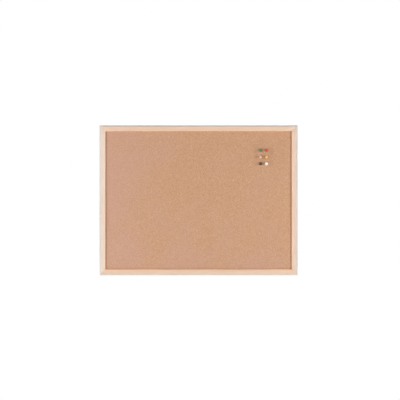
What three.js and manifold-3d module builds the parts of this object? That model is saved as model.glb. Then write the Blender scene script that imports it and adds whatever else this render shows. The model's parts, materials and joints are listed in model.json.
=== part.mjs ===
import * as THREE from 'three';
import { mergeVertices } from 'three/addons/utils/BufferGeometryUtils.js';
import Module from 'manifold-3d';

const wasm = await Module();
wasm.setup();

// A framed cork board in millimetres. X runs along its width, Z points up and the cork faces -Y.
// The origin is the middle of the frame's back, the plane that lies against the wall.

// Board, measured over the frame
const boardWidth = 600;
const boardHeight = 454;

// Pine bar: width of its face, the lips before and behind the panel, the groove and the rounded edges
const barFace = 18;
const frontLip = 4.5;
const backLip = 2.4;
const grooveReach = 6.5;
const frontRound = 5.5;
const innerRound = 1.2;
const backRound = 1;
const mitreGap = 0.1;

// Panel: three sheets glued together, loose in the groove
const corkThickness = 3;
const coreThickness = 7;
const backingThickness = 0.6;
const glueLine = 0.1;
const grooveClearance = 0.15;
const panelEdgeGap = 0.5;

// V-nails, pressed into the mitres from behind
const nailHeight = 10;
const nailLeg = 3.4;
const nailThickness = 0.6;
const nailSunk = 0.2;
const nailEdgeWood = 1.5;
const nailGrooveWood = 0.8;
const kerfClearance = 0.3;

// Strap hanger: a steel strip folded round the straight bar of a wire ring
const hangerDrop = 90;
const stripThickness = 0.8;
const stripWidth = 8;
const stripLayerGap = 0.2;
const strapReach = 24;
const foldClosing = THREE.MathUtils.degToRad(50);
const ringWire = 2;
const ringInnerWidth = 10;
const ringDrop = 10.2;
const ringCorner = 2;
const ringEndGap = 0.4;
const ringClearance = 0.25;
const ringRestGap = 0.1;

// Pan-head screw of a hanger, with a cross recess
const screwDrop = 17;
const screwLength = 12;
const screwShank = 2.9;
const screwPoint = 2.6;
const screwHead = 5.8;
const screwHeadHeight = 2;
const screwHeadRound = 1.1;
const recessLength = 3.2;
const recessWidth = 0.8;
const recessDepth = 1.3;
const strapHoleClearance = 0.3;
const pilotClearance = 0.2;
const pilotWood = 1.15;

// Push pin: a moulded head on a steel needle
const flangeWidth = 9.6;
const flangeThickness = 1.6;
const waistWidth = 5.2;
const waistHeight = 4.2;
const neckWidth = 5.9;
const neckHeight = 8.6;
const knobWidth = 8.2;
const knobHeight = 10;
const knobThickness = 2;
const headHeight = 12.3;
const needleWidth = 1.1;
const needleReach = 9.5;
const needlePoint = 1.8;
const needleSeat = 6.2;
const needleSeatClearance = 0.15;
const needleHoleClearance = 0.2;

// Block of push pins near the top right corner: its place from the board's edges, and its spacing
const pinBlockInset = 94.4;
const pinBlockDrop = 75.7;
const pinPitchAcross = 17.6;
const pinPitchDown = 20.4;

// Cuts run past the faces that they open by this much
const overrun = 1;

// Facets: segments in half of an arc of an outline, and round a turned piece or a wire
const arcSegments = 4;
const profileSegments = 3;
const headSegments = 18;
const needleSegments = 10;
const screwSegments = 20;
const ringSteps = 48;

// Worked out from the sizes above
const panelThickness = corkThickness + coreThickness + backingThickness + 2 * glueLine;
const grooveWidth = panelThickness + 2 * grooveClearance;
const frameDepth = backLip + grooveWidth + frontLip;
const solidWood = barFace - grooveReach;
const panelWidth = boardWidth - 2 * (solidWood + panelEdgeGap);
const panelHeight = boardHeight - 2 * (solidWood + panelEdgeGap);
const backingBack = backLip + grooveClearance;
const coreBack = backingBack + backingThickness + glueLine;
const corkBack = coreBack + coreThickness + glueLine;
const corkFace = corkBack + corkThickness;
const loopInner = ringWire / 2 + ringClearance;
const loopOuter = loopInner + stripThickness;
const strapFace = 2 * stripThickness + stripLayerGap;
const pilotRadius = screwShank / 2 + pilotClearance;
const hangerInset = solidWood - pilotWood - pilotRadius;

const pine = { color: 0xe8d0b6, roughness: 0.6, metalness: 0 };
const cork = { color: 0xcb9e7f, roughness: 0.95, metalness: 0 };
const fibreboard = { color: 0xb99a74, roughness: 0.95, metalness: 0 };
const kraft = { color: 0xb58f65, roughness: 0.85, metalness: 0 };
const steel = { color: 0xb9bcbf, roughness: 0.35, metalness: 1 };
const plastics = {
  green: 0x2f8f4a,
  red: 0xd8322c,
  pink: 0xe9b6a2,
  yellow: 0xf0c52c,
  black: 0x2a2d33,
  white: 0xf1f0ec
};

// Adds a piece to a group, as a mesh with a name and a material of its own
function addPiece(parent, name, geometry, finish) {
  const piece = new THREE.Mesh(geometry, new THREE.MeshStandardMaterial(finish));
  piece.name = name;
  parent.add(piece);
  return piece;
}

// Joins a geometry's doubled points, and drops the triangles that this leaves without area
function welded(geometry) {
  const bare = geometry.clone();
  bare.deleteAttribute('normal');
  bare.deleteAttribute('uv');
  const merged = mergeVertices(bare);
  const index = Array.from(merged.index.array);
  const kept = [];
  for (let i = 0; i < index.length; i += 3) {
    const [a, b, c] = index.slice(i, i + 3);
    if (a !== b && b !== c && c !== a) {
      kept.push(a, b, c);
    }
  }
  merged.setIndex(kept);
  merged.computeVertexNormals();
  return merged;
}

function toSolid(geometry) {
  const closed = welded(geometry);
  return new wasm.Manifold(new wasm.Mesh({
    numProp: 3,
    vertProperties: Float32Array.from(closed.attributes.position.array),
    triVerts: Uint32Array.from(closed.index.array)
  }));
}

function toGeometry(solid) {
  const mesh = solid.getMesh();
  const geometry = new THREE.BufferGeometry();
  geometry.setAttribute('position', new THREE.BufferAttribute(mesh.vertProperties, 3));
  geometry.setIndex(new THREE.BufferAttribute(mesh.triVerts, 1));
  geometry.computeVertexNormals();
  return geometry;
}

// Cuts a tool out of a piece. The tool is drawn in the frame of its carrier, another object of the model
function cut(piece, tool, carrier) {
  piece.updateWorldMatrix(true, false);
  carrier.updateWorldMatrix(true, false);
  const carrierToPiece = piece.matrixWorld.clone().invert().multiply(carrier.matrixWorld);
  const placed = tool.clone().applyMatrix4(carrierToPiece);
  piece.geometry = toGeometry(toSolid(piece.geometry).subtract(toSolid(placed)));
}

// Extrudes an outline drawn across X and up Z, from Y = 0 towards the front of the board
function extrudeForward(shape, depth, curveSegments = arcSegments) {
  const geometry = new THREE.ExtrudeGeometry(shape, { depth, bevelEnabled: false, curveSegments });
  return geometry.rotateX(Math.PI / 2);
}

// Turns a profile round the Y axis
function turn(profile, divisions, segments) {
  return welded(new THREE.LatheGeometry(profile.getPoints(divisions), segments));
}

// Section of a bar: x is measured inwards from its outer edge, y from its back to its face
function barSection() {
  const grooveFront = frameDepth - frontLip;
  const shape = new THREE.Shape();
  shape.moveTo(backRound, 0);
  shape.absarc(barFace - innerRound, innerRound, innerRound, -Math.PI / 2, 0, false);
  shape.lineTo(barFace, backLip);
  shape.lineTo(solidWood, backLip);
  shape.lineTo(solidWood, grooveFront);
  shape.lineTo(barFace, grooveFront);
  shape.absarc(barFace - innerRound, frameDepth - innerRound, innerRound, 0, Math.PI / 2, false);
  shape.absarc(frontRound, frameDepth - frontRound, frontRound, Math.PI / 2, Math.PI, false);
  shape.absarc(backRound, backRound, backRound, Math.PI, 1.5 * Math.PI, false);
  return shape;
}

// A bar along X with its outer edge on top: the unit extrusion is stretched so that both ends are mitred
function barGeometry(length) {
  const options = { depth: 1, bevelEnabled: false, curveSegments: arcSegments };
  const geometry = new THREE.ExtrudeGeometry(barSection(), options);
  const position = geometry.attributes.position;
  for (let i = 0; i < position.count; i += 1) {
    const inwards = position.getX(i);
    const end = 1 - 2 * position.getZ(i);
    position.setXYZ(i, end * (length / 2 - inwards - mitreGap), -position.getY(i), -inwards);
  }
  return welded(geometry);
}

function addFrame(parent) {
  const addBar = (name, length, x, z, quarterTurns) => {
    const bar = addPiece(parent, name, barGeometry(length), pine);
    bar.position.set(x, 0, z);
    bar.rotation.y = quarterTurns * Math.PI / 2;
    return bar;
  };
  return {
    top: addBar('frame_top_rail', boardWidth, 0, boardHeight / 2, 0),
    right: addBar('frame_right_stile', boardHeight, boardWidth / 2, 0, 1),
    bottom: addBar('frame_bottom_rail', boardWidth, 0, -boardHeight / 2, 2),
    left: addBar('frame_left_stile', boardHeight, -boardWidth / 2, 0, 3)
  };
}

// The three sheets of the panel, each placed by the distance of its back from the wall
function addPanel(parent) {
  const addSheet = (name, back, thickness, finish) => {
    const sheet = addPiece(parent, name, new THREE.BoxGeometry(panelWidth, thickness, panelHeight), finish);
    sheet.position.y = -(back + thickness / 2);
    return sheet;
  };
  return [
    addSheet('backing_sheet', backingBack, backingThickness, kraft),
    addSheet('fibreboard_core', coreBack, coreThickness, fibreboard),
    addSheet('cork_sheet', corkBack, corkThickness, cork)
  ];
}

// Outline of a V-nail with its fold at the origin and a leg along each axis, or of the kerf round it
function nailOutline(clearance) {
  const half = nailThickness / 2 + clearance;
  const reach = nailLeg + clearance;
  const shape = new THREE.Shape();
  shape.moveTo(-half, -half);
  shape.lineTo(reach, -half);
  shape.lineTo(reach, half);
  shape.lineTo(half, half);
  shape.lineTo(half, reach);
  shape.lineTo(-half, reach);
  return shape;
}

// Two V-nails in each mitre, their legs open towards the frame's outer corner
function addNails(parent, bars) {
  const corners = [
    { name: 'top_right', x: 1, z: 1, joined: [bars.top, bars.right] },
    { name: 'bottom_right', x: 1, z: -1, joined: [bars.right, bars.bottom] },
    { name: 'bottom_left', x: -1, z: -1, joined: [bars.bottom, bars.left] },
    { name: 'top_left', x: -1, z: 1, joined: [bars.left, bars.top] }
  ];
  const insets = {
    outer: nailEdgeWood + kerfClearance + nailLeg,
    inner: solidWood - nailGrooveWood - kerfClearance - nailThickness / 2
  };
  const kerfDepth = overrun + nailSunk + nailHeight + kerfClearance;
  const kerf = extrudeForward(nailOutline(kerfClearance), kerfDepth).translate(0, nailSunk + overrun, 0);
  corners.forEach((corner, quarterTurns) => {
    const group = new THREE.Group();
    group.position.set(corner.x * boardWidth / 2, 0, corner.z * boardHeight / 2);
    group.rotation.y = quarterTurns * Math.PI / 2;
    parent.add(group);
    for (const [place, inset] of Object.entries(insets)) {
      const blank = extrudeForward(nailOutline(0), nailHeight);
      const nail = addPiece(group, `v_nail_${corner.name}_${place}`, welded(blank), steel);
      nail.position.set(-inset, -nailSunk, -inset);
      corner.joined.forEach((bar) => cut(bar, kerf, nail));
    }
  });
}

// Side view of the folded strip, x away from the wood and y up, with the ring's bar at the loop's centre:
// up the wood, over the loop, then down a slope that closes it and along the back of the first layer
function stripSideView() {
  const closing = -foldClosing;
  const layerBack = stripThickness + stripLayerGap;
  const slopeEnd = (radius, face) => {
    const run = loopOuter + radius * Math.cos(closing) - face;
    return radius * Math.sin(closing) - run / Math.tan(foldClosing);
  };
  const shape = new THREE.Shape();
  shape.moveTo(0, -strapReach);
  shape.absarc(loopOuter, 0, loopOuter, Math.PI, closing, true);
  shape.lineTo(strapFace, slopeEnd(loopOuter, strapFace));
  shape.lineTo(strapFace, -strapReach);
  shape.lineTo(layerBack, -strapReach);
  shape.lineTo(layerBack, slopeEnd(loopInner, layerBack));
  shape.absarc(loopOuter, 0, loopInner, closing, Math.PI, false);
  shape.lineTo(stripThickness, -strapReach);
  return shape;
}

// Front view of the strap: straight sides, a round lower end and the screw hole
function strapFrontView() {
  const half = stripWidth / 2;
  const hole = new THREE.Path();
  hole.absarc(0, -screwDrop, screwShank / 2 + strapHoleClearance, 0, 2 * Math.PI, false);
  const shape = new THREE.Shape();
  shape.moveTo(half, loopOuter + overrun);
  shape.lineTo(-half, loopOuter + overrun);
  shape.absarc(0, half - strapReach, half, Math.PI, 2 * Math.PI, false);
  shape.holes.push(hole);
  return shape;
}

function strapGeometry() {
  const options = { depth: stripWidth, bevelEnabled: false, curveSegments: arcSegments };
  const toSideways = new THREE.Matrix4().makeBasis(
    new THREE.Vector3(0, 1, 0),
    new THREE.Vector3(0, 0, 1),
    new THREE.Vector3(1, 0, 0)
  );
  const folded = new THREE.ExtrudeGeometry(stripSideView(), options).applyMatrix4(toSideways);
  folded.translate(-stripWidth / 2, 0, 0);
  const depth = 2 * loopOuter + 2 * overrun;
  const trimmer = extrudeForward(strapFrontView(), depth).translate(0, 2 * loopOuter + overrun, 0);
  return toGeometry(toSolid(folded).intersect(toSolid(trimmer)));
}

// A curve in space that follows a flat path, whose x and y are laid along X and Z
class UprightCurve extends THREE.Curve {
  constructor(path) {
    super();
    this.path = path;
  }

  getPoint(t, target = new THREE.Vector3()) {
    const point = this.path.getPoint(t);
    return target.set(point.x, 0, point.y);
  }
}

// Wire of the ring: from its butted ends inside the strap round a D that hangs below the straight bar
function ringGeometry() {
  const half = (ringInnerWidth + ringWire) / 2;
  const bend = half - ringCorner;
  const path = new THREE.Path();
  path.moveTo(ringEndGap / 2, 0);
  path.absarc(bend, -ringCorner, ringCorner, Math.PI / 2, 0, true);
  path.absarc(0, half - ringDrop, half, 0, -Math.PI, true);
  path.absarc(-bend, -ringCorner, ringCorner, Math.PI, Math.PI / 2, true);
  path.lineTo(-ringEndGap / 2, 0);
  const section = new THREE.Shape();
  section.absarc(0, 0, ringWire / 2, 0, 2 * Math.PI, false);
  const options = { steps: ringSteps, curveSegments: arcSegments, extrudePath: new UprightCurve(path) };
  return welded(new THREE.ExtrudeGeometry(section, options));
}

// Angle at which the hanging ring leans on the edges of the strap
function ringLean() {
  const half = (ringInnerWidth + ringWire) / 2;
  const dropAtStrapEdge = ringDrop - half + Math.sqrt(half ** 2 - (stripWidth / 2) ** 2);
  return Math.asin((strapFace + ringWire / 2 + ringRestGap - loopOuter) / dropAtStrapEdge);
}

// Turned outline of the screw, from its point to the crown of its head; y = 0 under the head
function screwProfile() {
  const head = screwHead / 2;
  const profile = new THREE.Path();
  profile.moveTo(0, strapFace - screwLength);
  profile.lineTo(screwShank / 2, strapFace - screwLength + screwPoint);
  profile.lineTo(screwShank / 2, strapFace);
  profile.lineTo(head, strapFace);
  profile.lineTo(head, strapFace + screwHeadHeight - screwHeadRound);
  profile.absarc(head - screwHeadRound, strapFace + screwHeadHeight - screwHeadRound, screwHeadRound,
    0, Math.PI / 2, false);
  profile.lineTo(0, strapFace + screwHeadHeight);
  return profile;
}

function addScrew(parent, name) {
  const screw = addPiece(parent, name, turn(screwProfile(), profileSegments, screwSegments), steel);
  screw.position.z = -screwDrop;
  const slotTop = strapFace + screwHeadHeight + overrun;
  const slotDepth = recessDepth + overrun;
  for (const [width, height] of [[recessLength, recessWidth], [recessWidth, recessLength]]) {
    const slot = new THREE.BoxGeometry(width, slotDepth, height).translate(0, slotTop - slotDepth / 2, 0);
    cut(screw, slot, screw);
  }
  return screw;
}

// A hanger on the back of each stile; the screw's pilot hole runs in the solid wood beside the groove
function addHangers(parent, bars) {
  const pilotDepth = screwLength - strapFace + pilotClearance + overrun;
  const pilot = new THREE.CylinderGeometry(pilotRadius, pilotRadius, pilotDepth, screwSegments);
  pilot.translate(0, overrun - pilotDepth / 2, 0);
  for (const [side, sign] of [['left', -1], ['right', 1]]) {
    const group = new THREE.Group();
    group.position.set(sign * (boardWidth / 2 - hangerInset), 0, boardHeight / 2 - hangerDrop);
    parent.add(group);
    addPiece(group, `hanger_strap_${side}`, strapGeometry(), steel);
    const ring = addPiece(group, `hanger_ring_${side}`, ringGeometry(), steel);
    ring.position.y = loopOuter;
    ring.rotation.x = ringLean();
    const screw = addScrew(group, `hanger_screw_${side}`);
    cut(bars[side], pilot, screw);
  }
}

// Turned outline of a pin's head above the cork: needle seat, flange, waist, flared neck and knob
function headProfile() {
  const seat = needleWidth / 2 + needleSeatClearance;
  const rim = flangeThickness / 2;
  const knobRim = knobThickness / 2;
  const profile = new THREE.Path();
  profile.moveTo(0, needleSeat + needleSeatClearance);
  profile.lineTo(seat, needleSeat + needleSeatClearance);
  profile.lineTo(seat, 0);
  profile.absarc(flangeWidth / 2 - rim, rim, rim, -Math.PI / 2, Math.PI / 2, false);
  profile.quadraticCurveTo(waistWidth / 2, flangeThickness, waistWidth / 2, waistHeight);
  profile.lineTo(neckWidth / 2, neckHeight);
  profile.quadraticCurveTo(neckWidth / 2, knobHeight, knobWidth / 2 - knobRim, knobHeight);
  profile.absarc(knobWidth / 2 - knobRim, knobHeight + knobRim, knobRim, -Math.PI / 2, Math.PI / 2, false);
  profile.quadraticCurveTo(knobWidth / 4, headHeight, 0, headHeight);
  return profile;
}

// Turned outline of a needle, or of the hole that it makes; y = 0 is the cork's face
function needleProfile(clearance, top) {
  const radius = needleWidth / 2 + clearance;
  const profile = new THREE.Path();
  profile.moveTo(0, -needleReach - clearance);
  profile.lineTo(radius, -needleReach - clearance + needlePoint);
  profile.lineTo(radius, top);
  profile.lineTo(0, top);
  return profile;
}

// Two columns and three rows of pins, each with its axis square to the cork and its flange on it
function addPins(parent, sheets) {
  const rows = [['green', 'red'], ['pink', 'yellow'], ['black', 'white']];
  const hole = turn(needleProfile(needleHoleClearance, overrun), profileSegments, needleSegments);
  rows.forEach((row, down) => row.forEach((colour, across) => {
    const x = boardWidth / 2 - pinBlockInset - (row.length - 1 - across) * pinPitchAcross;
    const z = boardHeight / 2 - pinBlockDrop - down * pinPitchDown;
    const group = new THREE.Group();
    group.position.set(x, -corkFace, z);
    group.rotation.x = Math.PI;
    parent.add(group);
    const plastic = { color: plastics[colour], roughness: 0.25, metalness: 0 };
    addPiece(group, `pin_head_${colour}`, turn(headProfile(), profileSegments, headSegments), plastic);
    const needle = turn(needleProfile(0, needleSeat), profileSegments, needleSegments);
    addPiece(group, `pin_needle_${colour}`, needle, steel);
    sheets.forEach((sheet) => cut(sheet, hole, group));
  }));
}

const corkBoard = new THREE.Group();
const bars = addFrame(corkBoard);
const sheets = addPanel(corkBoard);
addNails(corkBoard, bars);
addHangers(corkBoard, bars);
addPins(corkBoard, sheets);

export default corkBoard;
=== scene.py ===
"""Looks of a framed cork notice board, built round the fixed frame of its CAD model.

The board hangs upright in the XZ plane and faces -Y; its origin is the middle of the frame's back. Each
sub-assembly is a class that takes its sizes from the frame, works out fine surfaces with numpy and dresses
them in procedural finishes. Lengths are in metres, and MM turns a size in millimetres into metres.
"""
import json
import logging
import math
from collections.abc import Sequence
from dataclasses import dataclass
from enum import Enum
from typing import Any

import bpy
import numpy as np
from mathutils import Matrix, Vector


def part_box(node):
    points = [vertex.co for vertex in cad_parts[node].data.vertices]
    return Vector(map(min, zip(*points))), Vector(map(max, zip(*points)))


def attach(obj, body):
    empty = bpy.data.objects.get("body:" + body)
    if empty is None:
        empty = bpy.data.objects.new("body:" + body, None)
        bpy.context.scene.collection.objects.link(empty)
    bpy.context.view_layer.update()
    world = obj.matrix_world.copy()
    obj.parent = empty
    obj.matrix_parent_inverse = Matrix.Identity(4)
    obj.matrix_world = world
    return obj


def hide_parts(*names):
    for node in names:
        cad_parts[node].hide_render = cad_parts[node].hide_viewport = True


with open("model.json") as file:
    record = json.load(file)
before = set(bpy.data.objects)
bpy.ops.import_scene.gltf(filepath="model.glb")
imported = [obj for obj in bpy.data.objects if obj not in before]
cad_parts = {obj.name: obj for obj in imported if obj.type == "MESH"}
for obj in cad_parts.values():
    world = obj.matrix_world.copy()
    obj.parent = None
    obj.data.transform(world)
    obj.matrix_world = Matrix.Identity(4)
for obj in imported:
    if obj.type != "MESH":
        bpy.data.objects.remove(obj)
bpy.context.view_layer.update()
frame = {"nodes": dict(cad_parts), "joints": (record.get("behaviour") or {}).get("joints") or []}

log = logging.getLogger("cork_board")

MM = 0.001
TURN = 2.0 * math.pi
AXES = ((1.0, 0.0, 0.0), (0.0, 1.0, 0.0), (0.0, 0.0, 1.0))

Colour = tuple[float, float, float, float]
Pair = tuple[float, float]
Link = bpy.types.NodeSocket
Outputs = bpy.types.NodeOutputs
Feed = Link | float | Sequence[float]
Part = bpy.types.Object


# Shapes as arrays

def rows(*columns: np.ndarray | float) -> np.ndarray:
    """Return points with the given columns as their coordinates; one number serves for a whole column."""
    return np.stack(np.broadcast_arrays(*columns), axis=-1)


def add_object(name: str, data: bpy.types.ID) -> Part:
    """Put an object in the scene, at the origin.

    Args:
        name: The object's name.
        data: Its mesh, camera or lamp.

    Returns:
        The object.
    """
    made = bpy.data.objects.new(name, data)
    bpy.context.scene.collection.objects.link(made)
    return made


@dataclass
class Shell:
    """A closed surface as arrays."""

    points: np.ndarray  # x, y and z of each point
    quads: np.ndarray  # four point numbers for each face of the sides
    caps: list[np.ndarray]  # point numbers of each flat face that closes an end

    def facing_out(self) -> "Shell":
        """Turn the faces outwards where they look inwards.

        Each face is split into triangles that fan out from its first point. The volume is a sixth of the sum
        of their triple products, and where it is negative the faces look inwards.

        Returns:
            The shell itself, or one whose faces have their points in the opposite order.
        """
        fans = [self.quads[:, [0, 1, 2]], self.quads[:, [0, 2, 3]]]
        fans += [rows(cap[0], cap[1:-1], cap[2:]) for cap in self.caps]
        first, second, third = self.points[np.concatenate(fans)].transpose(1, 0, 2)
        if np.einsum("ij,ij->", first, np.cross(second, third)) >= 0.0:
            return self
        return Shell(self.points, self.quads[:, ::-1], [cap[::-1] for cap in self.caps])

    def placed(self, origin: Sequence[float], axes: Sequence[Sequence[float]] = AXES) -> "Shell":
        """Return the shell with its x, y and z laid along three axes from an origin, facing outwards."""
        return Shell(self.points @ np.asarray(axes) + np.asarray(origin), self.quads, self.caps).facing_out()

    def piece(self, name: str) -> Part:
        """Make an object of the shell.

        Args:
            name: The object's name.

        Returns:
            The object, which sits at the origin and has its place in its mesh.
        """
        mesh = bpy.data.meshes.new(name)
        mesh.from_pydata(self.points.tolist(), [], self.quads.tolist() + [cap.tolist() for cap in self.caps])
        mesh.update()
        return add_object(name, mesh)


def joined(shells: Sequence[Shell]) -> Shell:
    """Put several shells into one, their points and faces one after the other.

    Args:
        shells: The shells, which stay as they are.

    Returns:
        The one shell.
    """
    starts = np.cumsum([0] + [len(shell.points) for shell in shells])
    quads = [shell.quads + start for shell, start in zip(shells, starts)]
    caps = [cap + start for shell, start in zip(shells, starts) for cap in shell.caps]
    return Shell(np.concatenate([shell.points for shell in shells]), np.concatenate(quads), caps)


def carve(piece: Part, cutters: Sequence[Shell]) -> None:
    """Cut shells out of a piece and keep what is left as its mesh.

    Args:
        piece: The object to cut.
        cutters: Closed shells that don't touch each other.
    """
    tool = joined(cutters).piece("cutter")
    modifier = piece.modifiers.new("carve", "BOOLEAN")
    modifier.operation, modifier.solver, modifier.object = "DIFFERENCE", "EXACT", tool
    cut = bpy.data.meshes.new_from_object(piece.evaluated_get(bpy.context.evaluated_depsgraph_get()))
    piece.modifiers.clear()
    piece.data = cut
    bpy.data.objects.remove(tool)


def arc(centre: Pair, radius: float, start: float, end: float, steps: int) -> np.ndarray:
    """Return the points centre + radius * (cos a, sin a) for angles a from start to end, in degrees."""
    angle = np.radians(np.linspace(start, end, steps + 1))
    return np.asarray(centre) + radius * rows(np.cos(angle), np.sin(angle))


def pulled(start: Pair, pull: Pair, end: Pair, steps: int) -> np.ndarray:
    """Return points on the curve (1 - t)^2 * start + 2 t (1 - t) * pull + t^2 * end."""
    t = np.linspace(0.0, 1.0, steps + 1)[:, None]
    return (1 - t) ** 2 * np.asarray(start) + 2 * t * (1 - t) * np.asarray(pull) + t**2 * np.asarray(end)


def loft(rings: np.ndarray) -> Shell:
    """Join closed outlines, one after the other, by quads, and close the first and the last with a flat cap.

    Args:
        rings: Points as (ring, point on the ring, xyz).

    Returns:
        The closed shell.
    """
    count, around = rings.shape[:2]
    ids = np.arange(count * around).reshape(count, around)
    ahead = np.roll(ids, -1, axis=1)
    quads = rows(ids[:-1], ahead[:-1], ahead[1:], ids[1:]).reshape(-1, 4)
    return Shell(rings.reshape(-1, 3), quads, [ids[0][::-1], ids[-1]]).facing_out()


def turned(profile: np.ndarray, segments: int, ripple: np.ndarray | float = 0.0) -> Shell:
    """Turn a profile round the y axis: (r, h) goes to (r cos a, h, r sin a) for each angle a.

    Args:
        profile: Radius and height of each point; the ends lie close to the axis and get small caps.
        segments: The number of angles.
        ripple: What is added to the radius, as (point, angle), for threads and seams.

    Returns:
        The closed shell.
    """
    angle = np.linspace(0.0, TURN, segments, endpoint=False)
    radius = profile[:, :1] + np.zeros(segments) + ripple
    return loft(rows(radius * np.cos(angle), profile[:, 1:], radius * np.sin(angle)))


def swept(path: np.ndarray, section: np.ndarray, side: Sequence[float]) -> Shell:
    """Carry a section along a flat path.

    At each point of the path the section's first coordinate is laid along the side direction and its second
    along the path's normal, side x tangent, where the tangent is the difference of the neighbours.

    Args:
        path: Points of the path, as (station, xyz).
        section: Points of the outline, as (point, 2), or (station, point, 2) where it changes.
        side: The direction square to the plane of the path.

    Returns:
        The closed shell.
    """
    tangent = np.gradient(path, axis=0)
    tangent /= np.linalg.norm(tangent, axis=1, keepdims=True)
    normal = np.cross(np.asarray(side), tangent)
    outlines = np.broadcast_to(section, (len(path),) + section.shape[-2:])
    return loft(path[:, None] + outlines[..., :1] * np.asarray(side) + outlines[..., 1:] * normal[:, None])


def rounded_rectangle(half_width: np.ndarray, half_height: float, radius: float, steps: int) -> np.ndarray:
    """Work out rectangles with round corners, each corner a quarter of an arc.

    Args:
        half_width: Half the width of each rectangle.
        half_height: Half their height.
        radius: Radius of their corners.
        steps: The number of chords of a corner.

    Returns:
        The outlines, as (rectangle, point, 2).
    """
    corners = []
    for turn, (sign_x, sign_y) in enumerate([(1, 1), (-1, 1), (-1, -1), (1, -1)]):
        bend = arc((0.0, 0.0), radius, 90.0 * turn, 90.0 * (turn + 1), steps)
        x = sign_x * (half_width[:, None] - radius) + bend[:, 0]
        corners.append(rows(x, sign_y * (half_height - radius) + bend[:, 1]))
    return np.concatenate(corners, axis=1)


def inset(outline: np.ndarray, distance: float) -> np.ndarray:
    """Move a closed outline inwards.

    Each point moves along the mean of its two edges' normals, by the distance over the cosine of half the
    turn there.

    Args:
        outline: Points that run anticlockwise.
        distance: How far each edge moves.

    Returns:
        The points of the smaller outline.
    """
    edge = np.roll(outline, -1, axis=0) - outline
    edge /= np.linalg.norm(edge, axis=1, keepdims=True)
    normal = rows(-edge[:, 1], edge[:, 0])
    mean = normal + np.roll(normal, 1, axis=0)
    mean /= np.linalg.norm(mean, axis=1, keepdims=True)
    cosine = np.einsum("ij,ij->i", mean, normal)
    return outline + mean * (distance / cosine)[:, None]


def wave(along: np.ndarray, across: np.ndarray, rate: float, bend: float, bend_rate: float) -> np.ndarray:
    """Return sin(rate * along + bend * sin(bend_rate * across)), a wave whose crests are bent."""
    return np.sin(along * rate + bend * np.sin(across * bend_rate))


# Materials

def srgb(red: float, green: float, blue: float) -> Colour:
    """Turn a colour as it looks on screen, from 0 to 255, into linear light from 0 to 1, with an alpha."""
    shown = np.array([red, green, blue]) / 255.0
    return (*np.where(shown <= 0.04045, shown / 12.92, ((shown + 0.055) / 1.055) ** 2.4).tolist(), 1.0)


WHITE = srgb(255, 255, 255)
RESIN = srgb(176, 128, 84)
FLECK = srgb(116, 86, 58)
BARK = srgb(128, 86, 58)
JOINT = srgb(150, 104, 72)
ROSY = srgb(202, 161, 152)


class Kind(Enum):
    """The kinds of value that a socket carries."""

    VALUE = "NodeSocketFloat"
    VECTOR = "NodeSocketVector"
    COLOUR = "NodeSocketColor"


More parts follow.
